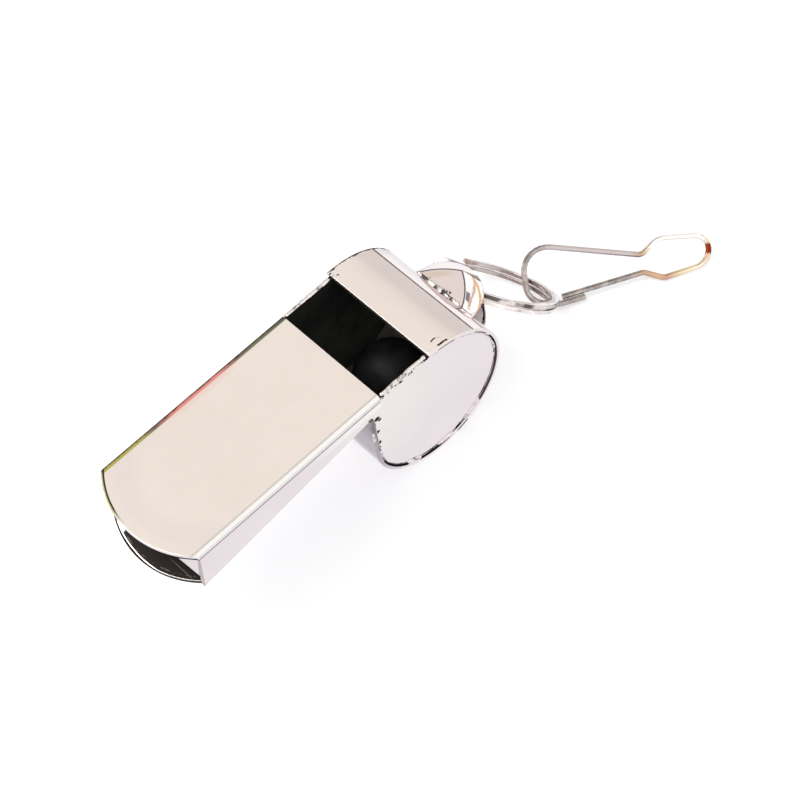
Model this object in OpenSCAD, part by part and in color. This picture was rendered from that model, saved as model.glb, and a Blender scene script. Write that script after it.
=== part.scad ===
// Sheet metal pea whistle with a split ring and a bent wire hook.
// The drawing frame has its origin on the barrel's axis, halfway across the barrel.
// +X runs from the mouthpiece to the barrel, +Z is up, and the player's right side is -Y.
// on_table() then moves the whole onto the surface that the barrel, the ring and the hook touch.

/* [Barrel] */
// Outer diameter of the barrel
barrel_d = 19; // [16:0.5:24]
// Width of the barrel strip, across the whistle
barrel_w = 16; // [13:0.5:20]
// Thickness of the sheet that every shell piece is cut from
sheet = 0.5; // [0.35:0.05:0.7]
// How far the barrel strip stands proud of each side plate
rim_proud = 0.2; // [0.1:0.05:0.35]
// Gap along each soldered seam
seam_gap = 0.05; // [0.03:0.01:0.08]
// Width of the solder bead along each seam
seam_bead_w = 0.3; // [0.15:0.05:0.5]
// Angle of the strip's rear window edge, measured up from the back of the barrel
knife_angle = 92.5; // [86:0.5:98]

/* [Mouthpiece] */
// Distance from the barrel's axis to the corners of the upper lip
mouth_reach = 33.6; // [28:0.2:38]
// Drop of the roof below the top of the barrel
roof_drop = 0.25; // [0:0.05:0.6]
// Inner radius of the roof's rolled side edges
roof_bend_r = 0.1; // [0.05:0.05:0.4]
// How far the upper lip bows forward at its middle
lip_bow = 3; // [1.5:0.1:4]
// How far the lower lip bows forward at its middle
lower_lip_bow = 2.6; // [1.5:0.1:4]
// How far the lower corners of the mouth lie ahead of its upper ones
chin = 0.4; // [0:0.05:0.8]
// Width of the bent corner at each side of the mouth, measured across the whistle
corner_w = 1.8; // [1:0.1:2.5]
// Height of the mouthpiece over all at the lip
mouth_h = 6; // [5.4:0.1:7.5]
// Height of the mouthpiece over all at the throat
throat_h = 2.6; // [2.2:0.1:3.4]
// Length of the sound window
window_len = 7.1; // [6:0.1:8.4]
// How far the solder stands up along each side of the sound window
window_bead_h = 0.35; // [0.25:0.05:0.5]
// Size of the solder fillet under the mouthpiece, in the corner by the barrel
throat_bead_w = 0.9; // [0.6:0.05:1.2]

/* [Lanyard lug] */
// How far the lug reaches past the back of the barrel
lug_reach = 4; // [3.7:0.1:5.5]
// Width of the lug, across the whistle
lug_w = 9; // [8:0.2:11]
// Height of the lug over all
lug_h = 6.4; // [5.8:0.1:7.4]
// Height of the lug's middle above the barrel's axis
lug_rise = 1.1; // [0:0.05:2]
// Width of the lug's flat top where it meets the barrel
lug_top_w = 7.2; // [5:0.1:7.6]
// Radius of each curved side of the lug's flat top
lug_side_r = 9; // [7:0.5:14]
// Height of the sloping hood between the lug's top and its rim
hood_h = 1.5; // [1:0.1:2.2]
// How far the hood slopes out from the tip of the flat top
hood_reach = 1.4; // [0.8:0.1:2]
// Depth of the strip that closes the lug's end, beyond the passage for the ring
nose_depth = 0.6; // [0.5:0.05:0.9]
// Size of the solder fillet along each foot of the lug
lug_bead_w = 0.65; // [0.4:0.05:0.9]

/* [Pea] */
// Diameter of the pea
pea_d = 9.2; // [8.6:0.1:11]
// Running gap between the pea and the barrel strip
pea_gap = 0.35; // [0.25:0.05:0.8]

/* [Split ring] */
// Outer diameter of the split ring
ring_d = 15.2; // [14:0.2:19]
// Width of its flat wire, measured along the radius
ring_wire_w = 1; // [0.8:0.05:1.2]
// Thickness of one coil of its flat wire
ring_wire_t = 0.5; // [0.4:0.05:0.75]
// Gap between its two coils
ring_coil_gap = 0.14; // [0.04:0.01:0.2]
// How far the ring leans to one side as it lies
ring_lean = 12; // [0:1:20]

/* [Wire hook] */
// Diameter of the hook's wire
wire_d = 0.7; // [0.6:0.05:0.95]
// Length of the hook over all, between wire centres
hook_len = 22.5; // [19:0.25:27]
// Width of its pear-shaped loop, between wire centres
hook_w = 7; // [6:0.1:8.5]
// Width of its neck, between wire centres
neck_w = 2.1; // [1.8:0.1:3]
// Width of the eye at its far end, between wire centres
eye_w = 5.15; // [4.2:0.05:6.5]
// How far the two ends of the wire lie side by side
end_overlap = 2.6; // [1.5:0.1:4]
// Heading of the hook as it lies, measured from the whistle's centre line
hook_heading = -38; // [-50:1:50]
// How far the hook tips about its own length as it lies
hook_tip = 20; // [15:1:30]

/* [Hidden] */

// Overrun of every cut past the face that it leaves
cut = 1;
// Gap between a piece that rests on the table and the table
rest_gap = 0.02;
// Facets of round outlines, of small rounds and of the hook's wire, and steps in each of its bends
round_fn = 96;
small_fn = 32;
wire_fn = 16;
bend_steps = 8;

// Barrel and side plates
barrel_r = barrel_d / 2;
chamber_r = barrel_r - sheet;
cheek_r = chamber_r - seam_gap;
band_y = barrel_w / 2;
cheek_y = band_y - rim_proud;
cheek_in_y = cheek_y - sheet;
table_z = -barrel_r;

// Mouthpiece
function lip_radius(half_w, bow) = (half_w * half_w + bow * bow) / (2 * bow);
roof_roll = roof_bend_r + sheet;
roof_z = barrel_r - roof_drop;
roof_seam_z = roof_z - roof_roll;
window_back_x = barrel_r * cos(knife_angle);
window_front_x = window_back_x - window_len;
mouth_x = -mouth_reach;
chin_x = mouth_x - chin;
throat_x = -barrel_r;
lip_bottom_z = roof_z - mouth_h;
throat_z = roof_z - throat_h;
floor_slope = (throat_z - lip_bottom_z) / (throat_x - chin_x);
floor_angle = atan(floor_slope);
floor_len = (throat_x - chin_x) / cos(floor_angle);
floor_half_w = cheek_in_y - seam_gap;

// Bent corner of the mouth: it follows the upper lip in from the side plate
lip_r = lip_radius(cheek_y, lip_bow);
corner_in = sqrt(pow(lip_r, 2) - pow(cheek_y - corner_w, 2)) - (lip_r - lip_bow);
corner_top_z = roof_seam_z - seam_gap;
corner_low_z = lip_bottom_z + sheet + seam_gap;

// Beside the window the side plates stop level with the barrel disc, and solder tops them up
window_plate_z = cheek_r;

// How much of the throat fillet its hollow face takes away, as a share of its size
throat_hollow_share = 0.72;

// Lug: a round shell on a centre just inside the barrel's back, with a hood that slopes to a flat top
lug_x = barrel_r + lug_reach;
lug_r = lug_w / 2;
lug_centre_x = lug_x - lug_r;
lug_top_z = lug_rise + lug_h / 2;
lug_bottom_z = lug_rise - lug_h / 2;
hood_z = lug_top_z - hood_h;
hood_lean = atan2(hood_reach, hood_h);
top_inset_share = 0.7;
top_root = [sqrt(pow(barrel_r, 2) - pow(lug_top_z, 2)), lug_top_w / 2];
top_tip = [lug_x - hood_reach, 0];
top_chord = top_tip - top_root;
top_side_centre = (top_root + top_tip) / 2
    + sqrt(pow(lug_side_r / norm(top_chord), 2) - 0.25) * [top_chord[1], -top_chord[0]];
// The ring's passage goes straight across the lug, above its lower plate and below its hood
passage_x = lug_x - nose_depth;
passage_z = lug_bottom_z + sheet;

// Pea: it lies at the lowest point of its track
pea_r = pea_d / 2;
pea_track_r = chamber_r - pea_r - pea_gap;

// Split ring: its wire passes through the lug, well inside the lug's end
ring_r = ring_d / 2;
ring_mean_r = ring_r - ring_wire_w / 2;
coil_pitch = ring_wire_t + ring_coil_gap;
ring_half_t = ring_wire_t + ring_coil_gap / 2;
ring_corner_share = 0.22;
ring_corner_r = ring_corner_share * ring_wire_t;
ring_section_r = norm([ring_wire_w / 2, ring_half_t]);
// How far the curve of the ring's inner edge comes forward over half the width of the lug's nose
nose_half_w = sqrt(pow(lug_r, 2) - pow(passage_x - lug_centre_x, 2));
ring_inner_r = ring_mean_r - ring_wire_w / 2;
ring_bulge = ring_mean_r - sqrt(pow(ring_inner_r, 2) - pow(nose_half_w, 2));
ring_lug_gap = 0.3;
seat_share = 0.66;
pivot = [
    passage_x - ring_lug_gap - norm([ring_bulge, ring_half_t]),
    0,
    passage_z + seat_share * (hood_z - passage_z)
];
// Angle round the ring of the upper coil's free end, turn of the step and free gap at each end
end_angle = 66;
step_turn = 22;
end_gap_turn = 2;
// How far the step reaches into each coil, and its section as a share of the wire's
step_lap_turn = 2;
step_share = 0.97;

// Slope at which the ring's rim just reaches the table, found by halving the interval
function ring_low(slope) =
    let (n = cos(slope) * cos(ring_lean))
    pivot[2] - ring_mean_r * sin(slope) - ring_r * sqrt(1 - n * n) - ring_half_t * n;
function ring_settle(low, high, steps) =
    let (mid = (low + high) / 2)
    steps == 0 ? mid
    : ring_low(mid) > table_z + rest_gap ? ring_settle(mid, high, steps - 1)
    : ring_settle(low, mid, steps - 1);
halvings = 30;
ring_slope = ring_settle(0, 85, halvings);

// Rotation matrices for placing the hook
function rot_x(a) = [[1, 0, 0], [0, cos(a), -sin(a)], [0, sin(a), cos(a)]];
function rot_y(a) = [[cos(a), 0, sin(a)], [0, 1, 0], [-sin(a), 0, cos(a)]];
function rot_z(a) = [[cos(a), -sin(a), 0], [sin(a), cos(a), 0], [0, 0, 1]];
ring_turn = rot_y(ring_slope) * rot_x(-ring_lean);
ring_centre = pivot + ring_turn * [ring_mean_r, 0, 0];

// The hook hangs on the ring's wire at this angle round the ring, a wire's thickness clear of it
hang_angle = -8;
hang_gap = 0.05;
hang_r = ring_section_r + wire_d / 2 + hang_gap;
hang_point = ring_turn * rot_z(hang_angle) * [ring_mean_r, 0, 0];
// Start of the hook from the wire's centre: outward, along and across the ring
hang_shares = [-0.92, 0.87, 0.75];
hook_start = ring_centre + hang_point + ring_turn * rot_z(hang_angle) * (hang_r * hang_shares);

// Outline of the bent wire, along the hook, across it and with the radius of each bend.
// Loop and eye: shares of the hook's length, of its own width and of its own width
loop_shares = [[0, -0.46, 0.3], [0, 0.54, 0.41]];
eye_shares = [[0.71, 0.56, 0.47], [1, 0.52, 0.31], [0.95, -0.15, 0.47], [0.72, -0.38, 0.3]];
gate_end_shares = [0.18, -0.43];
neck_share = 0.62;
neck_bend_share = 1.5;
lead_share = 0.75;
lead_bend_share = 0.29;
neck_x = neck_share * hook_len;
neck_bend_r = neck_bend_share * wire_d;
gate_end = [gate_end_shares[0] * hook_len, gate_end_shares[1] * hook_w];
// The plain end lies beside the strand that runs from the neck to the gate end
gate_dir = unit(gate_end - [neck_x, -neck_w / 2]);
beside = (wire_d + hang_gap) * [gate_dir[1], -gate_dir[0]];
plain_end = gate_end - end_overlap * gate_dir - beside;
plain_turn = gate_end + lead_share * wire_d * gate_dir - beside;
hook_corners = concat(
    [[plain_end[0], plain_end[1], 0]],
    [[plain_turn[0], plain_turn[1], lead_bend_share * hook_w]],
    [for (s = loop_shares) [s[0] * hook_len, s[1] * hook_w, s[2] * hook_w]],
    [[neck_x, neck_w / 2, neck_bend_r]],
    [for (s = eye_shares) [s[0] * hook_len, s[1] * eye_w, s[2] * eye_w]],
    [[neck_x, -neck_w / 2, neck_bend_r]],
    [[gate_end[0], gate_end[1], 0]]
);

// One bend: where it starts, its centre and how far it turns
function unit(v) = v / norm(v);
function flat(p) = [p[0], p[1]];
function heading(c, i) = atan2(c[i + 1][1] - c[i][1], c[i + 1][0] - c[i][0]);
function turn_at(c, i) =
    let (a = heading(c, i) - heading(c, i - 1))
    a > 180 ? a - 360 : a < -180 ? a + 360 : a;
function bend_point(c, i, share) =
    let (
        turn = turn_at(c, i),
        a = heading(c, i - 1),
        b = a + turn * share,
        left = sign(turn) * c[i][2],
        from = flat(c[i]) - c[i][2] * tan(abs(turn) / 2) * [cos(a), sin(a)]
    )
    concat(from + left * [sin(b) - sin(a), cos(a) - cos(b)], [b]);
// Centre line of the hook: points, each with its heading
hook_path = concat(
    [[hook_corners[0][0], hook_corners[0][1], heading(hook_corners, 0)]],
    [for (i = [1 : len(hook_corners) - 2], s = [0 : bend_steps]) bend_point(hook_corners, i, s / bend_steps)],
    [[gate_end[0], gate_end[1], heading(hook_corners, len(hook_corners) - 2)]]
);

// Drop at which the hook's lowest side just reaches the table
function hook_low(drop) =
    let (m = rot_z(hook_heading) * rot_y(drop) * rot_x(hook_tip))
    min([for (p = hook_path) (hook_start + m * [p[0], p[1], 0])[2]]) - wire_d / 2;
function hook_settle(low, high, steps) =
    let (mid = (low + high) / 2)
    steps == 0 ? mid
    : hook_low(mid) > table_z + rest_gap ? hook_settle(mid, high, steps - 1)
    : hook_settle(low, mid, steps - 1);
hook_drop = hook_settle(-30, 45, halvings);
hook_turn = rot_z(hook_heading) * rot_y(hook_drop) * rot_x(hook_tip);

// Middle of the whole whistle as it lies, from the upper lip to the hook's eye, on the table
hook_x = [for (p = hook_path) (hook_start + hook_turn * [p[0], p[1], 0])[0]];
hook_y = [for (p = hook_path) (hook_start + hook_turn * [p[0], p[1], 0])[1]];
front_x = mouth_x - lip_bow;
back_x = max(hook_x) + wire_d / 2;
right_y = min(-band_y, min(hook_y) - wire_d / 2);
left_y = max(band_y, max(hook_y) + wire_d / 2);
middle = [(front_x + back_x) / 2, (right_y + left_y) / 2, table_z];

module on_table() translate(-middle) children();

// Turns a drawing in the XZ plane into a slab between two places across the whistle
module slab(y_from, y_to)
    translate([0, y_to, 0]) rotate([90, 0, 0]) linear_extrude(y_to - y_from) children();

// Outline of a side plate: barrel disc, upright front and tapering mouthpiece side
module cheek_outline() {
    plate_top_z = roof_seam_z - seam_gap;
    front_top_z = throat_z + floor_slope * sheet;
    circle(cheek_r, $fn = round_fn);
    translate([-cheek_r, 0]) square([cheek_r, front_top_z]);
    polygon([
        [mouth_x, plate_top_z],
        [chin_x, lip_bottom_z],
        [throat_x + sheet, front_top_z],
        [0, front_top_z],
        [window_back_x, window_plate_z],
        [window_front_x + seam_gap, window_plate_z],
        [window_front_x + seam_gap, plate_top_z]
    ]);
}

// Bent end of a side plate, which closes the corner of the mouth under the upper lip
module mouth_corner() translate([mouth_x, -cheek_y, 0]) rotate([0, 0, atan2(corner_w, -corner_in)])
    slab(-sheet, 0)
        polygon([[0, corner_low_z], [0, corner_top_z], [norm([corner_w, corner_in]), corner_top_z]]);

module cheek() {
    slab(-cheek_y, -cheek_in_y) cheek_outline();
    mouth_corner();
}

module right_cheek() color("gainsboro") on_table() cheek();
module left_cheek() color("gainsboro") on_table() mirror([0, 1, 0]) cheek();

// Plan of a bowed lip: a circle through both corners and the middle of the lip
module lip_plan(corner_x, bow, half_w, back_x) {
    r = lip_radius(half_w, bow);
    translate([corner_x, -half_w]) square([back_x - corner_x, 2 * half_w]);
    intersection() {
        translate([corner_x - bow + r, 0]) circle(r, $fn = 2 * round_fn);
        translate([corner_x - bow, -half_w]) square([bow, 2 * half_w]);
    }
}

// Quarter of a rolled edge, with the centre of its bend at the origin
module rolled_edge() intersection() {
    difference() {
        circle(roof_roll, $fn = round_fn);
        circle(roof_bend_r, $fn = round_fn);
    }
    square(roof_roll);
}

module roof_section() {
    flat_y = cheek_y - roof_roll;
    translate([-flat_y, roof_z - sheet]) square([2 * flat_y, sheet]);
    translate([flat_y, roof_seam_z]) rolled_edge();
    mirror([1, 0]) translate([flat_y, roof_seam_z]) rolled_edge();
}

module roof_plate() color("antiquewhite") on_table() intersection() {
    front = mouth_x - lip_bow - cut;
    translate([front, 0, 0]) rotate([90, 0, 90]) linear_extrude(window_front_x - front) roof_section();
    translate([0, 0, roof_seam_z - cut]) linear_extrude(roof_roll + 2 * cut)
        lip_plan(mouth_x, lip_bow, cheek_y, window_front_x + cut);
}

// The floor lies between the side plates and rises from the lip to the throat
module floor_plate() color("lightgray") on_table() intersection() {
    reach = lower_lip_bow + cut;
    translate([chin_x, 0, lip_bottom_z]) rotate([0, -floor_angle, 0])
        translate([-reach, -floor_half_w, 0]) cube([floor_len + reach + cut, 2 * floor_half_w, sheet]);
    translate([0, 0, lip_bottom_z - reach]) linear_extrude(mouth_h + 2 * reach)
        lip_plan(chin_x, lower_lip_bow, floor_half_w, throat_x + sheet);
}

// The strip starts upright under the throat, goes round under the barrel and ends at the window
module band_outline() {
    translate([throat_x, 0]) square([sheet, throat_z - seam_gap]);
    difference() {
        circle(barrel_r, $fn = 2 * round_fn);
        circle(chamber_r, $fn = 2 * round_fn);
        polygon([
            [0, 0],
            barrel_d * [cos(knife_angle), sin(knife_angle)],
            barrel_d * [-1, 1],
            barrel_d * [-1, 0]
        ]);
    }
}

module barrel_band() color("whitesmoke") on_table() slab(-band_y, band_y) band_outline();

// Plan of the lug's flat top: two curved sides that meet at its tip
module lug_top_plan(inset) intersection() {
    translate(top_side_centre) circle(lug_side_r - inset, $fn = 2 * round_fn);
    mirror([0, 1]) translate(top_side_centre) circle(lug_side_r - inset, $fn = 2 * round_fn);
}

// Round body and hood of the lug, drawn in from its outside by the given amount
module lug_body(inset) hull() {
    wall_top_z = hood_z - inset * tan(hood_lean / 2);
    translate([lug_centre_x, 0, lug_bottom_z + inset])
        cylinder(r = lug_r - inset, h = wall_top_z - lug_bottom_z - inset, $fn = round_fn);
    translate([0, 0, lug_top_z - inset - seam_gap]) linear_extrude(seam_gap)
        lug_top_plan(top_inset_share * inset);
}

module lanyard_lug() color("silver") on_table() difference() {
    lug_body(0);
    lug_body(sheet);
    translate([0, -lug_w, passage_z]) cube([passage_x, 2 * lug_w, hood_z - passage_z]);
    slab(-lug_w, lug_w) circle(barrel_r + seam_gap, $fn = 2 * round_fn);
}

// Section of the solder in the corner between the strip's rim and a side plate
function seam_section(toward) = [
    [toward * (cheek_r - seam_bead_w), cheek_y + seam_gap / 2],
    [toward * (chamber_r - seam_gap / 2), cheek_y + seam_gap / 2],
    [toward * (chamber_r - seam_gap / 2), band_y]
];

// The solder runs round the barrel from the window and up the barrel's front to the throat
module seam_solder() {
    rotate([90, 0, 0]) rotate([0, 0, 180])
        rotate_extrude(angle = 180 + knife_angle, $fn = 2 * round_fn) polygon(seam_section(1));
    linear_extrude(throat_z - throat_bead_w) mirror([0, 1]) polygon(seam_section(-1));
}

module right_seam_solder() color("lightslategray") on_table() seam_solder();
module left_seam_solder() color("lightslategray") on_table() mirror([0, 1, 0]) seam_solder();

// A half-round bead along the top of each side plate, beside the window
module window_solder() color("slategray") on_table() for (side = [-1, 1]) {
    bead_from = window_front_x + 2 * seam_gap;
    bead_to = window_back_x - 2 * seam_gap;
    bead_z = window_plate_z + seam_gap / 2;
    intersection() {
        translate([bead_from, side * (cheek_y - window_bead_h), bead_z]) rotate([0, 90, 0])
            cylinder(r = window_bead_h, h = bead_to - bead_from, $fn = round_fn);
        translate([bead_from - cut, -band_y, bead_z])
            cube([bead_to - bead_from + 2 * cut, barrel_w, window_bead_h + cut]);
    }
}

// A fillet under the mouthpiece, in the corner against the barrel's upright front
module throat_solder() color("slategray") on_table() slab(-cheek_y, cheek_y) {
    corner_x = throat_x - seam_gap / 2;
    corner_z = throat_z - seam_gap / 2;
    difference() {
        polygon([
            [corner_x, corner_z],
            [corner_x - throat_bead_w, corner_z - floor_slope * throat_bead_w],
            [corner_x - throat_bead_w, corner_z - throat_bead_w],
            [corner_x, corner_z - throat_bead_w]
        ]);
        translate([corner_x - throat_bead_w, corner_z - throat_bead_w])
            circle(throat_hollow_share * throat_bead_w, $fn = round_fn);
    }
}

// A fillet along one foot of the lug, outside it, on the barrel
module lug_solder(side, w) slab(-w / 2, w / 2) {
    foot_z = lug_rise + side * (lug_h / 2 + seam_gap / 2);
    foot_x = sqrt(pow(barrel_r, 2) - pow(foot_z, 2));
    difference() {
        polygon([
            [foot_x - lug_bead_w, foot_z],
            [foot_x + lug_bead_w, foot_z],
            [foot_x - lug_bead_w, foot_z + side * lug_bead_w]
        ]);
        circle(barrel_r + seam_gap / 2, $fn = 2 * round_fn);
    }
}

module lug_upper_solder() color("slategray") on_table() lug_solder(1, lug_top_w);
module lug_lower_solder() color("slategray") on_table() lug_solder(-1, lug_w);

module pea() color([0.07, 0.07, 0.07]) on_table() translate([0, 0, -pea_track_r]) sphere(pea_r, $fn = round_fn);

// Section of the ring's flat wire, with rounded corners
module ring_section() {
    flat_w = ring_wire_w / 2 - ring_corner_r;
    flat_t = ring_wire_t / 2 - ring_corner_r;
    translate([-ring_wire_w / 2, -flat_t]) square([ring_wire_w, 2 * flat_t]);
    translate([-flat_w, -ring_wire_t / 2]) square([2 * flat_w, ring_wire_t]);
    for (x = [-1, 1], y = [-1, 1]) translate([x * flat_w, y * flat_t]) circle(ring_corner_r, $fn = small_fn);
}

// One coil of the ring, above or below its middle, from one angle through a turn
module coil(level, from, turn) translate([0, 0, level * coil_pitch / 2]) rotate([0, 0, from])
    rotate_extrude(angle = turn, $fn = 2 * round_fn) translate([ring_mean_r, 0]) ring_section();

// A thin slice inside a coil, at one angle
module coil_slice(level, angle) rotate([0, 0, angle]) translate([ring_mean_r, 0, level * coil_pitch / 2])
    rotate([90, 0, 0]) linear_extrude(ring_corner_r, center = true) scale(step_share) ring_section();

// Two coils joined by a short step, so that the ring is one unbroken wire
module split_ring() color("silver") on_table()
    translate(ring_centre) rotate([0, ring_slope, 0]) rotate([-ring_lean, 0, 0]) {
        coil(1, end_angle + step_turn, 360 - step_turn);
        coil(-1, end_angle + step_turn + end_gap_turn, 360 - step_turn);
        hull() {
            coil_slice(1, end_angle + step_turn + step_lap_turn);
            coil_slice(-1, end_angle + end_gap_turn - step_lap_turn);
        }
    }

// A round wire swept along a flat path of points with headings
module bent_wire(path, r) {
    rings = [
        for (p = path, i = [0 : wire_fn - 1])
            let (a = 360 * i / wire_fn, side = r * cos(a))
            [p[0] - side * sin(p[2]), p[1] + side * cos(p[2]), r * sin(a)]
    ];
    ends = len(path) - 1;
    faces = concat(
        [[for (i = [0 : wire_fn - 1]) i]],
        [for (k = [0 : ends - 1], i = [0 : wire_fn - 1])
            let (a = k * wire_fn + i, b = k * wire_fn + (i + 1) % wire_fn)
            [a, a + wire_fn, b + wire_fn, b]],
        [[for (i = [wire_fn - 1 : -1 : 0]) ends * wire_fn + i]]
    );
    polyhedron(rings, faces);
}

module wire_hook() color("darkgray") on_table() translate(hook_start)
    rotate([0, 0, hook_heading]) rotate([0, hook_drop, 0]) rotate([hook_tip, 0, 0])
        bent_wire(hook_path, wire_d / 2);

right_cheek();
left_cheek();
roof_plate();
floor_plate();
barrel_band();
lanyard_lug();
right_seam_solder();
left_seam_solder();
window_solder();
throat_solder();
lug_upper_solder();
lug_lower_solder();
pea();
split_ring();
wire_hook();
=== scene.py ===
import math

import bmesh
import bpy
from mathutils import Matrix, Vector, noise


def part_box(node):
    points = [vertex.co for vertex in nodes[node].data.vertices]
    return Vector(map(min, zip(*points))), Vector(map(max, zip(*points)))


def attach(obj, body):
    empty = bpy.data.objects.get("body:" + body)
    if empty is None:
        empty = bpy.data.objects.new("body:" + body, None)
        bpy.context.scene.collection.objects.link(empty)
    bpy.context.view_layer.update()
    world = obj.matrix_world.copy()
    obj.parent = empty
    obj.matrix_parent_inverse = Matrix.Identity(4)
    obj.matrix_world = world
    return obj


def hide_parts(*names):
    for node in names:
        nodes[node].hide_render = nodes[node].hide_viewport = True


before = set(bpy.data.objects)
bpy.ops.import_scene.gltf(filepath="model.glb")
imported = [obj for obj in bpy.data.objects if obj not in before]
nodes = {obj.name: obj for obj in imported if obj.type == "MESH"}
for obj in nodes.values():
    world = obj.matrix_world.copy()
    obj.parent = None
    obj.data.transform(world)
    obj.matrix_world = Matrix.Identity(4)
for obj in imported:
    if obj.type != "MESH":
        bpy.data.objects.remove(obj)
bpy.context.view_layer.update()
scene = bpy.context.scene
MM = 0.001

# Sizes and places are in millimetres in the whistle's own frame: the barrel's axis is the line
# x = z = 0, the whistle's middle is y = 0, and the player's right side is -y.

# The barrel's radius and half its width, and its middle in the CAD frame, a radius above the floor
BARREL_R, HALF_W = 9.5, 8.0
ORIGIN = Vector((-1.77854, 2.68015, BARREL_R)) * MM
ROOF_TOP = (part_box("roof_plate")[1].z - ORIGIN.z) / MM

# The sheet's thickness, how far the barrel strip stands proud of the side plates, and the depth
# below a sheet's outer face from which its surfaces count as its inner side
SHEET, PROUD, SKIN = 0.5, 0.2, 0.40

# Mouthpiece: its height at the chin and at the throat, and the middle of its sloping floor's sheet
MOUTH_H, THROAT_H, CHIN_X = 6.0, 2.6, -34.0
FLOOR_SLOPE = (MOUTH_H - THROAT_H) / (-BARREL_R - CHIN_X)
FLOOR_LEVEL = ROOF_TOP - MOUTH_H - CHIN_X * FLOOR_SLOPE + SHEET / 2
# The lip's corners, where the side plates bend in, and the bow of the upper and of the lower lip
MOUTH_X = -33.6
BENT_X = MOUTH_X - 0.02
LIP_R, LIP_X = 11.64, -24.96
LOWER_LIP_R, LOWER_LIP_X = 11.41, -25.19
# Where the roof's side edges start to roll, and the window's front edge
ROLL_Y, WINDOW_X = 7.2, -7.5

# Lug: centre and radius of its round shell, its heights, and the curve beside its flat top
LUG_X, LUG_R = 9.0, 4.5
LUG_LOW, HOOD_LOW, LUG_TOP = -2.1, 2.8, 4.3
LUG_SIDE_X, LUG_SIDE_Y, LUG_SIDE_R = 4.208, 4.326, 9.0

# The split ring's centre and axis, and the radii beyond and within which its walls lie
RING_CENTRE = (16.622, 0.0, -3.654)
RING_AXIS = (0.683, 0.208, 0.700)
RING_OUT_R, RING_IN_R = 7.50, 6.68

# Direction in which the hook lies, along its length
HOOK_ALONG = (0.788, -0.616)


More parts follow.
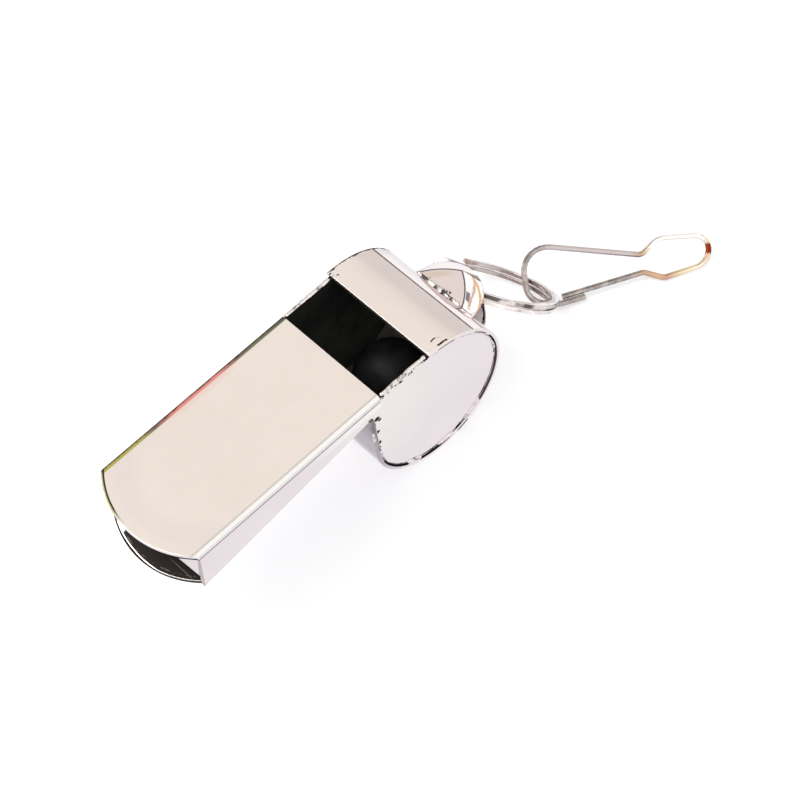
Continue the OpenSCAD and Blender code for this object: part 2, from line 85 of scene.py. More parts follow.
# Shader helpers
class Shader:
    """A node tree with short calls for the nodes that the materials use."""

    def __init__(self, tree):
        self.tree = tree
        self.nodes = tree.nodes
        self.nodes.clear()

    def node(self, kind, **values):
        made = self.nodes.new(kind)
        for key, value in values.items():
            setattr(made, key, value)
        return made

    def link(self, value, socket):
        """Connects a socket, or sets a number or colour. None leaves it as it is."""
        if isinstance(value, bpy.types.NodeSocket):
            self.tree.links.new(value, socket)
        elif value is not None:
            socket.default_value = value

    def math(self, operation, a, b=None):
        made = self.node("ShaderNodeMath", operation=operation)
        for socket, value in zip(made.inputs, (a, b)):
            self.link(value, socket)
        return made.outputs[0]

    def plus(self, a, b):
        return self.math("ADD", a, b)

    def minus(self, a, b):
        return self.math("SUBTRACT", a, b)

    def absolute(self, value):
        return self.math("ABSOLUTE", value)

    def above(self, value, level):
        return self.math("GREATER_THAN", value, level)

    def below(self, value, level):
        return self.math("LESS_THAN", value, level)

    def times(self, first, *others):
        """The product of values, which is where all of several masks hold."""
        for other in others:
            first = self.math("MULTIPLY", first, other)
        return first

    def most(self, first, *others):
        """The greatest of values, which is where any of several masks holds."""
        for other in others:
            first = self.math("MAXIMUM", first, other)
        return first

    def reach(self, u, v, centre=0.0):
        """Distance from the point (centre, 0) in the plane of two coordinates."""
        du = self.minus(u, centre)
        return self.math("SQRT", self.plus(self.times(du, du), self.times(v, v)))

    def turn(self, u, v):
        """Angle of the point (u, v), in radians from the direction of u."""
        return self.math("ARCTAN2", v, u)

    def vector(self, operation, a, b=None):
        made = self.node("ShaderNodeVectorMath", operation=operation)
        for socket, value in zip(made.inputs, (a, b)):
            self.link(value, socket)
        return made.outputs["Value" if operation in ("LENGTH", "DOT_PRODUCT") else "Vector"]

    def distance(self, place, point):
        return self.vector("LENGTH", self.vector("SUBTRACT", place, point))

    def place(self, scale=(1, 1, 1)):
        """The surface's place in millimetres in the whistle's own frame, scaled."""
        coords = self.node("ShaderNodeTexCoord")
        moved = self.vector("SUBTRACT", coords.outputs["Object"], tuple(ORIGIN))
        big = self.vector("MULTIPLY", moved, (1 / MM, 1 / MM, 1 / MM))
        return big if scale == (1, 1, 1) else self.vector("MULTIPLY", big, scale)

    def split(self, vector):
        made = self.node("ShaderNodeSeparateXYZ")
        self.link(vector, made.inputs[0])
        return made.outputs[0], made.outputs[1], made.outputs[2]

    def noise(self, vector, scale, detail=2.0, rough=0.5):
        """Soft noise, whose scale is its waves in a millimetre."""
        made = self.node("ShaderNodeTexNoise")
        self.link(vector, made.inputs["Vector"])
        made.inputs["Scale"].default_value = scale
        made.inputs["Detail"].default_value = detail
        made.inputs["Roughness"].default_value = rough
        return made.outputs["Fac"]

    def span(self, value, low, high, out_low=0.0, out_high=1.0):
        """The value's share of the way from low to high, or the same share of another range."""
        made = self.node("ShaderNodeMapRange", clamp=True)
        for socket, item in zip(made.inputs, (value, low, high, out_low, out_high)):
            self.link(item, socket)
        return made.outputs[0]

    def stripe(self, value, low, high, soft=0.03):
        """One between two values, with soft ends."""
        return self.times(self.span(value, low - soft, low), self.span(value, high + soft, high))

    def strokes(self, value, marks):
        """The widest of several strokes: each is its ends along the value and its width."""
        return self.most(0.0, *[self.times(self.stripe(value, low, high), width)
                                for low, high, width in marks])

    def spot(self, u, v, radius):
        """A round spot at zero, solid as far as 0.7 of its radius."""
        return self.span(self.reach(u, v), radius, 0.7 * radius)

    def spots(self, u, v, places):
        """Round spots at the given places, each with its radius."""
        return self.most(0.0, *[self.spot(self.minus(u, at_u), self.minus(v, at_v), radius)
                                for at_u, at_v, radius in places])

    def wander(self, place, scale, detail, rough, width):
        """Noise about zero, which moves a mark to and fro over a width."""
        return self.times(self.minus(self.noise(place, scale, detail, rough), 0.5), width)

    def ragged(self, place, scale, width):
        """Noise from zero to a width, with flat stretches at both, which tears a mark's outline."""
        return self.span(self.noise(place, scale, 3, 0.7), 0.42, 0.62, 0.0, width)

    def ramp(self, value, stops):
        made = self.node("ShaderNodeValToRGB")
        points = made.color_ramp.elements
        while len(points) < len(stops):
            points.new(0.5)
        for point, (place, colour) in zip(points, stops):
            point.position = place
            point.color = (*colour, 1)
        self.link(value, made.inputs["Fac"])
        return made.outputs["Color"]

    def mix(self, share, a, b):
        """From colour a to colour b."""
        made = self.node("ShaderNodeMix", data_type="RGBA")
        self.link(share, made.inputs[0])
        for value, socket in ((a, made.inputs[6]), (b, made.inputs[7])):
            self.link((*value, 1) if isinstance(value, tuple) else value, socket)
        return made.outputs[2]

    def blend(self, share, a, b):
        """From number a to number b."""
        made = self.node("ShaderNodeMix", data_type="FLOAT")
        for socket, item in ((made.inputs[0], share), (made.inputs[2], a), (made.inputs[3], b)):
            self.link(item, socket)
        return made.outputs[0]

    def bump(self, height, distance, strength, under=None):
        made = self.node("ShaderNodeBump")
        made.inputs["Distance"].default_value = distance * MM
        made.inputs["Strength"].default_value = strength
        self.link(height, made.inputs["Height"])
        self.link(under, made.inputs["Normal"])
        return made.outputs["Normal"]

    def round_edges(self, radius):
        """Normals that turn smoothly over an edge, as on bent and polished sheet."""
        made = self.node("ShaderNodeBevel", samples=6)
        made.inputs["Radius"].default_value = radius * MM
        return made.outputs[0]

    def surface(self, colour, metallic, rough, normal, **extra):
        made = self.node("ShaderNodeBsdfPrincipled")
        self.link(colour, made.inputs["Base Color"])
        self.link(metallic, made.inputs["Metallic"])
        self.link(rough, made.inputs["Roughness"])
        self.link(normal, made.inputs["Normal"])
        for key, value in extra.items():
            self.link(value, made.inputs[key.replace("_", " ")])
        out = self.node("ShaderNodeOutputMaterial")
        self.link(made.outputs[0], out.inputs["Surface"])

    def choose(self, share, first, second):
        """From one shader to another."""
        made = self.node("ShaderNodeMixShader")
        for socket, item in zip(made.inputs, (share, first, second)):
            self.link(item, socket)
        return made.outputs[0]


def material(name, build, **extra):
    made = bpy.data.materials.new(name)
    made.use_nodes = True
    build(Shader(made.node_tree), **extra)
    return made


# Materials

# Plated sheet: its colours, its bare inner side's, and those of flux burnt onto it, whose black also paints
# shadow in seam gaps and dark reflections
PLATE_LOW, PLATE_HIGH = (0.815, 0.750, 0.728), (0.850, 0.785, 0.765)
DARK_INSIDE = (0.020, 0.021, 0.020)
BLACK_FLUX_AND_SHADE, BROWN_FLUX = (0.012, 0.010, 0.009), (0.11, 0.072, 0.066)
PLATE_ROUGH, DULL_ROUGH, DULL_METAL = (0.05, 0.10), 0.55, 0.1


def plate(s, inside, paint, round_r=0.12, inside_colour=DARK_INSIDE):
    """Bright plated sheet: dark on the unplated inner side, with marks of solder and heat, and with painted
    shade, highlights and reflections.
    """
    place = s.place()
    x, y, z = s.split(place)
    cloud = s.noise(place, 0.16, 3, 0.55)
    haze = s.noise(place, 0.9)
    scuff = s.noise(s.place(scale=(0.35, 3.0, 3.0)), 4.0, 4, 0.6)
    wave = s.bump(cloud, 0.05, 0.5, s.round_edges(round_r))
    normal = s.bump(scuff, 0.001, 0.4, wave)
    colour, marks = paint(s, place, x, y, z, s.ramp(cloud, [(0.3, PLATE_LOW), (0.7, PLATE_HIGH)]))
    hidden = inside(s, x, y, z)
    if callable(inside_colour):
        inside_colour = inside_colour(s, place, z)
    colour = s.mix(hidden, colour, inside_colour)
    dull = s.most(marks, hidden)
    rough = s.blend(dull, s.span(haze, 0.3, 0.7, *PLATE_ROUGH), DULL_ROUGH)
    s.surface(colour, s.blend(dull, 1.0, DULL_METAL), rough, normal, Specular_IOR_Level=0.02)


def inside_cheek(s, x, y, z):
    """The side plate's inner face, but not the corner that is bent in at the lip."""
    middle = HALF_W - PROUD - SHEET / 2
    return s.times(s.below(s.absolute(y), middle), s.above(x, BENT_X))


def chamber_wall(s, place, z):
    """Colour of the far side plate's bare inner side, with painted light: paler low in the chamber, where
    light from the window falls, and faint patches.
    """
    # Painted light: paler towards the bottom of the chamber
    low = s.math("POWER", s.span(z, 6.0, -6.0), 1.5)
    patches = s.span(s.noise(place, 0.35, 3, 0.6), 0.35, 0.65, 0.75, 1.25)
    return s.mix(s.times(s.span(low, 0.0, 1.0, 0.026, 0.19), patches), (0.0, 0.0, 0.0), (1.0, 1.0, 0.96))


def inside_band(s, x, y, z):
    """The inner face of the barrel strip's round part, and of its upright front above the axis."""
    round_part = s.times(s.below(s.reach(x, z), BARREL_R - SKIN), s.below(s.absolute(y), HALF_W - 0.25))
    upright = s.times(s.above(x, SKIN - BARREL_R), s.above(z, 0.3), s.below(x, SHEET + 0.1 - BARREL_R))
    return s.most(round_part, upright)


def inside_roof(s, x, y, z):
    """The roof's under side."""
    return s.times(s.below(z, ROOF_TOP - SKIN), s.below(s.absolute(y), HALF_W - 0.30))


def floor_height(s, x, z):
    """Height above the middle of the sloping floor's sheet."""
    return s.minus(z, s.plus(s.times(x, FLOOR_SLOPE), FLOOR_LEVEL))


def lip_outline(s, y):
    """Width of the painted dark reflection on top of the lower lip's edge, broader towards the far side."""
    return s.span(y, -3.0, 1.0, 0.0, 0.19)


def inside_floor(s, x, y, z):
    """Dark mouth, less the lip's bright edge, its far corner, a long scratch and a row of specks."""
    upper_face = s.above(floor_height(s, x, z), 0.12)
    lip = s.reach(x, y, LOWER_LIP_X)
    within = s.below(s.plus(lip, lip_outline(s, y)), LOWER_LIP_R - 0.10)
    not_corner = s.most(s.span(y, 3.5, 3.2), s.above(x, -34.6))
    scratch = s.times(s.stripe(x, -34.45, -34.39, 0.05), s.stripe(y, -5.6, -4.0, 1.5), 0.24)
    speckled = s.span(s.noise(s.place(), 1.6, 2, 0.6), 0.52, 0.60, 0.0, 0.25)
    specks = s.times(s.stripe(lip, LOWER_LIP_R - 0.50, LOWER_LIP_R - 0.44, 0.05), speckled)
    return s.times(upper_face, within, not_corner, s.minus(1.0, s.most(scratch, specks)))


def inside_lug(s, x, y, z):
    """The inner wall of the lug's round shell, under the hood."""
    wall = s.below(s.reach(x, y, LUG_X), LUG_R - SKIN)
    return s.times(wall, s.above(z, LUG_LOW + 0.30), s.below(z, HOOD_LOW - 0.20))


# Pale metal in the mouth's far corner, and the painted dark reflection round the lower lip
CORNER_PALE, DARK_LIP_REFLECTION = (0.93, 0.91, 0.90), (0.020, 0.017, 0.016)


def paint_floor(s, place, x, y, z, colour):
    """Painted dark reflection along the front of the lower lip, and pale metal in the mouth's far corner.
    """
    lip = s.reach(x, y, LOWER_LIP_X)
    # Painted dark reflection along the lip's front and edge
    front = s.times(s.above(lip, LOWER_LIP_R - 0.05), s.below(floor_height(s, x, z), 0.19))
    edge = s.above(s.plus(lip, lip_outline(s, y)), LOWER_LIP_R)
    line = s.times(s.most(front, edge), s.below(x, MOUTH_X - 0.3))
    colour = s.mix(s.above(y, 3.0), colour, CORNER_PALE)
    return s.mix(line, colour, DARK_LIP_REFLECTION), line


# Dark strokes along the near rim, of flux and of painted shadow in the seam's gap: from and to, in radians
# round the barrel, and how broad
RIM_STROKES = [
    (-2.85, -2.24, 0.15), (-2.14, -2.03, 0.12), (-1.99, -1.70, 0.14), (-1.70, -1.10, 0.08),
    (-0.86, 0.03, 0.05), (0.20, 0.42, 0.05), (0.55, 0.80, 0.08), (1.22, 1.45, 0.28)]
# The same round the inner corner of the barrel strip's end, painted shadow in the gap, with how dark each
# is
CORNER_STROKES = [
    (-2.85, -2.24, 1.0), (-1.99, -1.50, 1.0), (-0.86, 0.42, 1.0), (0.55, 0.80, 0.8), (1.22, 1.45, 1.0)]
# Ends of the stroke that is brown and not black
BROWN_STROKE = (-0.86, 0.03)
# Specks up the side plate's front edge: place along x and z, and radius
FRONT_SPOTS = [
    (-8.45, 6.00, 0.42), (-8.15, 5.45, 0.26), (-8.72, 3.55, 0.34), (-8.72, 1.35, 0.38), (-8.80, 0.45, 0.22)]
# Specks on the barrel strip at the window's far corner: place along x and y, and radius
CORNER_SPOTS = [(-0.30, 7.65, 0.17), (-0.25, 7.15, 0.12), (0.15, 6.95, 0.12), (0.40, 7.80, 0.14)]

# Side plate: painted light, warm by the window; brown along the lip; a painted highlight, pale under the
# roof; and pale behind the lip
WINDOW_LIGHT, CHEEK_BROWN = (0.880, 0.832, 0.768), (0.28, 0.19, 0.17)
UNDER_ROOF_HIGHLIGHT, BEHIND_LIP = (0.95, 0.905, 0.86), (0.93, 0.89, 0.85)


def flux_and_shadow_colour(s, angle):
    """Black for flux and for painted shadow in the seam's gap, and brown flux along one stroke: by the
    angle round the barrel.
    """
    return s.mix(s.stripe(angle, *BROWN_STROKE), BLACK_FLUX_AND_SHADE, BROWN_FLUX)


def paint_cheek(s, place, x, y, z, colour):
    """Dark flux along the rim with painted shadow in the seam's gap, flux up the front edge and at the
    window, lines at the roof and lip, painted light by the window and a painted highlight under the roof.
    """
    # Painted light: warmer and paler near the window
    near_window = s.span(s.reach(s.minus(x, WINDOW_X), s.minus(z, 6.5)), 11.0, 2.0)
    colour = s.mix(near_window, colour, WINDOW_LIGHT)
    reach, angle = s.reach(x, z), s.turn(x, z)
    # Flux and painted shadow in the seam's gap along the rim, in dark strokes
    uneven = s.span(s.noise(place, 1.0, 3, 0.7), 0.35, 0.65, 0.6, 1.1)
    width = s.times(s.most(s.ragged(place, 0.45, 0.26), s.strokes(angle, RIM_STROKES)), uneven)
    rim = s.times(s.span(s.plus(reach, width), BARREL_R - 0.57, BARREL_R - 0.53),
                  s.below(reach, BARREL_R - 0.45))
    open_side = s.times(s.below(x, -0.8), s.above(z, 0.0))
    rim = s.times(rim, s.minus(1.0, open_side))
    front = s.spots(s.plus(x, s.wander(place, 2.0, 3, 0.7, 0.5)), z, FRONT_SPOTS)
    window = s.times(s.span(s.noise(place, 1.1, 3, 0.7), 0.50, 0.58), s.above(z, 8.70))
    on_mouthpiece = s.below(x, WINDOW_X - 0.1)
    under_roof = s.times(s.stripe(z, 8.52, 8.70, 0.02), on_mouthpiece, 0.85)
    dark = s.most(rim, front, window, under_roof)
    lip_line_x = s.plus(s.times(s.minus(z, 8.6), 0.075), MOUTH_X)
    lip_line = s.span(s.absolute(s.minus(x, lip_line_x)), 0.13, 0.06)
    colour = s.mix(s.times(lip_line, 0.6), colour, CHEEK_BROWN)
    # Painted highlight: paler below the line under the roof
    below_line = s.times(s.stripe(z, 7.6, 8.5, 0.3), s.span(x, -18.0, -12.5), on_mouthpiece)
    colour = s.mix(below_line, colour, UNDER_ROOF_HIGHLIGHT)
    behind_lip = s.times(s.below(s.reach(x, y, LIP_X), LIP_R - 0.45), s.below(x, BENT_X),
                         s.above(s.absolute(y), 5.9))
    colour = s.mix(behind_lip, s.mix(dark, colour, flux_and_shadow_colour(s, angle)), BEHIND_LIP)
    return colour, s.most(dark, s.times(behind_lip, 0.7))


# Painted shade on the strip's front under the mouthpiece: fade across, fade in height, and colour
FRONT_SHADES = [
    ((3.5, 6.0), (-9.0, -3.0), (0.58, 0.505, 0.53)),
    ((2.5, 5.0), (-4.5, -1.0), (0.425, 0.37, 0.38))]
# Painted shade on the strip's far back and on the sides of its upright front
FAR_BACK_SHADE, UPRIGHT_SHADE = (0.69, 0.645, 0.63), (0.185, 0.150, 0.150)


def barrel_top_marks(s, place, x, y):
    """A curved mark and a crack in the plating near the window's near corner, and far specks."""
    dx, dy = s.minus(x, 1.46), s.plus(y, 7.66)
    reach, turn = s.reach(dx, dy), s.turn(dx, dy)
    thick = s.times(s.stripe(reach, 0.86, 0.99), s.stripe(turn, 1.36, 2.08, 0.12))
    thin = s.times(s.stripe(reach, 0.91, 0.95), s.stripe(turn, 0.72, 1.40, 0.12), 0.5)
    crack_y = s.absolute(s.plus(s.plus(y, 7.71), s.wander(place, 1.5, 2, 0.5, 0.2)))
    crack = s.times(s.span(crack_y, 0.15, 0.09), s.stripe(x, 1.18, 2.48, 0.1))
    torn = s.wander(place, 2.2, 3, 0.7, 0.7)
    return s.most(thick, thin, crack, s.spots(s.plus(x, torn), s.minus(y, torn), CORNER_SPOTS))


def paint_band(s, place, x, y, z, colour):
    """Painted shade under the mouthpiece, on the upright front and at the far back, flux and painted shadow
    along both rims, and marks on top.
    """
    front, side = s.below(x, -6.5), s.absolute(y)
    # Painted shade on the front under the mouthpiece
    for across, height, shade in FRONT_SHADES:
        colour = s.mix(s.times(front, s.span(side, *across), s.span(z, *height)), colour, shade)
    # Painted shade on the far back
    far_back_shade = s.times(s.span(y, 6.0, 7.2), s.span(x, 5.5, 6.5), s.span(z, 2.0, 4.0))
    colour = s.mix(far_back_shade, colour, FAR_BACK_SHADE)
    # Painted shade on the upright front's sides, in cloudy patches
    upright = s.times(front, s.span(z, 1.8, 5.0), s.span(side, 3.5, 7.0, 0.5, 1.0))
    cloudy = s.span(s.noise(place, 0.5, 3, 0.6), 0.35, 0.65, 0.75, 1.0)
    colour = s.mix(s.times(upright, cloudy), colour, UPRIGHT_SHADE)
    reach, angle = s.reach(x, z), s.turn(x, z)
    # Painted shadow in the gap at the strip's inner corner, in strokes
    corner = s.times(s.above(side, HALF_W - 0.25), s.below(reach, BARREL_R - 0.36),
                     s.strokes(angle, CORNER_STROKES))
    worn = s.span(s.noise(place, 0.5, 3, 0.7), 0.36, 0.48, 0.3, 1.0)
    far_rim = s.times(s.span(s.plus(y, s.ragged(place, 1.0, 0.17)), HALF_W - 0.16, HALF_W - 0.10),
                      s.above(z, 3.0), worn, 0.9)
    rim_mark = s.times(s.above(side, HALF_W - 0.10), s.stripe(angle, -1.33, -1.18),
                       s.above(reach, BARREL_R - 0.28))
    top_marks = s.times(s.above(z, 8.0), barrel_top_marks(s, place, x, y))
    dark = s.most(corner, far_rim, rim_mark, top_marks)
    return s.mix(dark, colour, flux_and_shadow_colour(s, angle)), dark


# Heat colours along the roof's far edge, from the lip to the window
ROOF_HEAT_X = (-32.5, -6.0)
ROOF_HEAT = [
    (0.00, (0.42, 0.40, 0.06)), (0.18, (0.42, 0.38, 0.05)), (0.30, (0.10, 0.08, 0.05)),
    (0.40, (0.75, 0.22, 0.20)), (0.62, (0.75, 0.26, 0.24)), (0.72, (0.14, 0.10, 0.06)),
    (0.82, (0.10, 0.13, 0.05)), (1.00, (0.05, 0.06, 0.04))]
# Painted shade behind the lip, the roll lines of painted dark reflection and the near edge beyond them
ROOF_SHADE, ROLL_REFLECTION, NEAR_EDGE = (0.77, 0.725, 0.735), (0.16, 0.13, 0.11), (0.775, 0.762, 0.742)
# Glow beside the far edge, the far lip's heat colour and the dark outline
ROSE_GLOW, OLIVE, OUTLINE = (0.85, 0.48, 0.45), (0.44, 0.41, 0.09), (0.03, 0.03, 0.02)


def paint_roof(s, place, x, y, z, colour):
    """Painted shade behind the lip, fine lines of painted dark reflection where the side edges start to
    roll, and heat colours along the far edge and lip.
    """
    lip, side = s.reach(x, y, LIP_X), s.absolute(y)
    shade = s.times(s.stripe(lip, LIP_R - 3.0, LIP_R - 1.6, 1.3), s.below(x, -28.0))
    colour = s.mix(s.times(shade, 0.5), colour, ROOF_SHADE)
    # Painted dark reflection where the side edges start to roll
    roll_reflection = s.stripe(side, ROLL_Y - 0.08, ROLL_Y - 0.03, 0.03)
    colour = s.mix(s.times(roll_reflection, 0.30), colour, ROLL_REFLECTION)
    colour = s.mix(s.span(y, -ROLL_Y - 0.02, -ROLL_Y - 0.08), colour, NEAR_EDGE)
    wandering_x = s.plus(x, s.times(s.noise(place, 0.5), 3.0))
    glow = s.times(s.span(y, ROLL_Y - 1.1, ROLL_Y), s.stripe(x, -23.0, -17.0, 3.0), 0.45)
    colour = s.mix(glow, colour, ROSE_GLOW)
    far_edge = s.span(y, ROLL_Y - 0.26, ROLL_Y - 0.08)
    colour = s.mix(s.times(far_edge, 0.9), colour, s.ramp(s.span(wandering_x, *ROOF_HEAT_X), ROOF_HEAT))
    far_lip = s.times(s.below(x, -30.0), s.span(y, 0.8, 3.0))
    olive = s.times(far_lip, s.span(lip, LIP_R - 0.14, LIP_R - 0.10))
    colour = s.mix(olive, colour, OLIVE)
    outline = s.span(s.plus(y, s.ragged(place, 1.2, 0.17)), ROLL_Y + 0.20, ROLL_Y + 0.30)
    lip_line = s.times(far_lip, s.stripe(lip, LIP_R - 0.32, LIP_R - 0.16, 0.04))
    dark = s.most(s.times(outline, 0.85), lip_line)
    return s.mix(dark, colour, OUTLINE), dark


# Lug: painted reflections on its flat top, in gold beside it, and on the hood, which is paler within the
# hairpin
FLAT_TOP_REFLECTION, GOLD_REFLECTION = (0.755, 0.672, 0.690), (0.60, 0.49, 0.36)
HOOD, HOOD_PALE = (0.86, 0.81, 0.79), (0.93, 0.89, 0.87)
# The hairpin's upper and lower streak of painted reflection, the rose and navy painted reflections on the
# lug's near side, and painted shade in its passage
STREAK_HIGH, STREAK_LOW = (0.52, 0.345, 0.27), (0.62, 0.36, 0.15)
ROSE_REFLECTION, NAVY_REFLECTION, PASSAGE_SHADE = (0.55, 0.28, 0.28), (0.06, 0.07, 0.12), (0.12, 0.08, 0.06)


def hood_reflections(s, down, turn):
    """Pale hood with two brown streaks of painted reflection that meet in a hairpin on its near side."""
    off = s.minus(down, s.span(turn, -0.50, -1.40, 0.56, 0.66))
    half_gap = s.span(turn, -0.35, -1.40, 0.0, 0.33)
    from_leg = s.minus(s.absolute(off), half_gap)
    leg = s.times(s.span(s.absolute(from_leg), 0.11, 0.04), s.span(turn, -0.20, -0.32),
                  s.span(turn, -1.62, -1.45))
    leg_colour = s.mix(s.span(off, -0.06, 0.06), STREAK_HIGH, STREAK_LOW)
    between = s.mix(s.span(from_leg, 0.0, -0.05), HOOD, HOOD_PALE)
    return s.mix(s.times(leg, 0.9), between, leg_colour)


def paint_lug(s, place, x, y, z, colour):
    """Painted reflections: a dark line round the flat top, a darker tone and gold on it, and streaks and
    patches on the hood; painted shade in the passage; and flux where it meets the barrel.
    """
    over = s.reach(x, s.plus(s.absolute(y), LUG_SIDE_Y), LUG_SIDE_X)
    on_top = s.above(z, LUG_TOP - 0.20)
    # Painted reflections on the flat top: a darker tone, gold beside it and a dark line round it
    colour = s.mix(s.above(z, LUG_TOP - 0.03), colour, FLAT_TOP_REFLECTION)
    gold = s.times(on_top, s.stripe(over, LUG_SIDE_R - 1.0, LUG_SIDE_R - 0.45, 0.25),
                   s.span(y, 0.0, 1.2), 0.5)
    colour = s.mix(gold, colour, GOLD_REFLECTION)
    line = s.times(on_top, s.stripe(over, LUG_SIDE_R - 0.14, LUG_SIDE_R - 0.03, 0.04), 0.85)
    # Place on the hood: turn round the lug's centre, and share of the way down from its top
    turn = s.turn(s.minus(x, LUG_X), y)
    down = s.math("DIVIDE", s.minus(LUG_TOP, z), LUG_TOP - HOOD_LOW)
    down = s.plus(down, s.wander(place, 0.9, 3, 0.6, 0.25))
    hood = s.times(s.above(z, HOOD_LOW - 0.05), s.below(z, LUG_TOP - 0.06))
    # Painted reflections on the hood: two streaks, a pale middle, and rose and navy patches
    colour = s.mix(s.times(hood, s.span(turn, 0.5, 0.1)), colour, hood_reflections(s, down, turn))
    rose = s.times(s.stripe(turn, -1.40, -1.18, 0.06), s.stripe(down, 0.24, 0.32, 0.05), hood, 0.7)
    colour = s.mix(rose, colour, ROSE_REFLECTION)
    navy = s.times(s.stripe(turn, -1.36, -1.04, 0.06), s.stripe(down, 0.0, 0.22, 0.04), hood)
    colour = s.mix(s.times(navy, 0.85), colour, NAVY_REFLECTION)
    # Painted shade where the passage opens on the near side
    patch = s.times(s.stripe(turn, -1.45, -1.00, 0.05), s.stripe(z, 1.7, 2.7, 0.1))
    colour = s.mix(s.times(patch, 0.8), colour, PASSAGE_SHADE)
    torn = s.span(s.noise(place, 0.9, 3, 0.7), 0.4, 0.6, 0.0, 0.9)
    root = s.span(s.minus(s.reach(x, z), torn), BARREL_R - 0.22, BARREL_R - 0.32)
    marks = s.times(root, s.span(s.noise(place, 1.2, 3, 0.7), 0.50, 0.56))
    dark = s.most(line, marks)
    return s.mix(dark, colour, BLACK_FLUX_AND_SHADE), dark


SOLDER_DIRT, SOLDER_DULL, SOLDER_PALE = (0.030, 0.025, 0.025), (0.50, 0.46, 0.46), (0.76, 0.71, 0.70)


def solder(s, dirt_share=0.38):
    """Lumpy pale solder with dark dirt where the noise is below a share."""
    place = s.place()
    lumps = s.noise(place, 1.6, 3, 0.6)
    dirt = s.noise(place, 1.1, 4, 0.7)
    clean_share = dirt_share + 0.04
    colour = s.ramp(dirt, [(dirt_share, SOLDER_DIRT), (clean_share, SOLDER_DULL),
                           (dirt_share + 0.12, SOLDER_PALE)])
    rough = s.span(lumps, 0.3, 0.7, 0.12, 0.32)
    s.surface(colour, s.span(dirt, dirt_share, clean_share), rough, s.bump(lumps, 0.05, 0.8))


PEA_LOW, PEA_HIGH, PEA_CLOUD = (0.008, 0.008, 0.008), (0.012, 0.012, 0.012), (0.022, 0.022, 0.023)


def pea_finish(s):
    """Dull black pea with a fine grain and paler clouds."""
    place = s.place()
    grain = s.noise(place, 2.5, 4, 0.6)
    clouds = s.span(s.noise(place, 0.3, 3, 0.6), 0.40, 0.60)
    colour = s.mix(clouds, s.ramp(grain, [(0.35, PEA_LOW), (0.7, PEA_HIGH)]), PEA_CLOUD)
    s.surface(colour, 0.0, s.span(grain, 0.3, 0.7, 0.42, 0.55), s.bump(grain, 0.01, 0.4),
              Specular_IOR_Level=0.2)


def wire_finish(s, base, paint, low=0.70, high=1.25):
    """Drawn steel, between two shares of its base colour, with fine grain."""
    place = s.place()
    grain = s.noise(place, 0.8, 3, 0.6)
    fine = s.noise(place, 3.0, 3, 0.5)
    colour = s.mix(s.span(grain, 0.35, 0.65), tuple(low * c for c in base), tuple(high * c for c in base))
    colour = paint(s, place, colour)
    s.surface(colour, 1.0, s.span(fine, 0.3, 0.7, 0.12, 0.24), s.bump(fine, 0.004, 0.4))


# Painted sheen and white highlight on the wire, and a rust spot
PALE_SHEEN, WHITE_HIGHLIGHT, RUST = (0.60, 0.53, 0.53), (0.95, 0.93, 0.90), (0.20, 0.035, 0.006)
# Painted warm reflections and white highlight from the hook's neck to the end of its eye, on the near and
# on the far strand
NEAR_REFLECTION_ALONG, FAR_REFLECTION_ALONG = (29.4, 39.0), (29.8, 39.0)
NEAR_REFLECTION = [
    (0.00, (0.42, 0.37, 0.35)), (0.14, (0.50, 0.35, 0.24)), (0.30, (0.62, 0.40, 0.24)),
    (0.40, (0.55, 0.32, 0.24)), (0.58, (0.80, 0.66, 0.42)), (0.76, (0.93, 0.78, 0.62)),
    (0.86, (0.86, 0.74, 0.62)), (1.00, (0.70, 0.46, 0.30))]
FAR_REFLECTION = [
    (0.00, PALE_SHEEN), (0.08, (0.66, 0.48, 0.34)), (0.16, (0.85, 0.76, 0.62)), (0.28, WHITE_HIGHLIGHT),
    (0.88, WHITE_HIGHLIGHT), (1.00, (0.62, 0.44, 0.30))]


def paint_hook(s, place, colour):
    """Painted warm reflections and white highlight along the far half of the hook, and a painted sheen on
    its far strand.
    """
    x, y, _ = s.split(place)
    ahead, aside = HOOK_ALONG
    along = s.plus(s.times(x, ahead), s.times(y, aside))
    across = s.plus(s.times(x, -aside), s.times(y, ahead))
    # Painted sheen along the far strand
    pale = s.times(s.span(across, 13.4, 14.6), s.stripe(along, 20.0, 30.4, 1.0))
    colour = s.mix(s.times(pale, 0.8), colour, PALE_SHEEN)
    # Painted warm reflections and white highlight towards the eye
    near = s.ramp(s.span(along, *NEAR_REFLECTION_ALONG), NEAR_REFLECTION)
    far = s.ramp(s.span(along, *FAR_REFLECTION_ALONG), FAR_REFLECTION)
    colour = s.mix(s.span(along, 29.2, 30.0), colour, s.mix(s.span(across, 14.2, 15.2), near, far))
    spot = s.times(s.stripe(along, 37.9, 38.9, 0.2), s.stripe(across, 13.9, 14.8, 0.25))
    return s.mix(spot, colour, RUST)


# Ring: painted shade on its inner wall, on top of its coils and in streaks on its outer wall, a painted
# highlight on its end, and the blot
RING_INNER_SHADE, RING_TOP, RING_OUTER_SHADE = (0.30, 0.25, 0.23), (0.36, 0.30, 0.28), (0.05, 0.035, 0.03)
RING_END_HIGHLIGHT, RING_BLOT = (0.97, 0.96, 0.96), (0.30, 0.12, 0.09)
# Middles of the painted highlight on the wire's end behind the lug and of the blot
HIDDEN_END, BLOT_CENTRE = (14.2, 6.6, -2.5), (17.95, 6.3, -6.4)


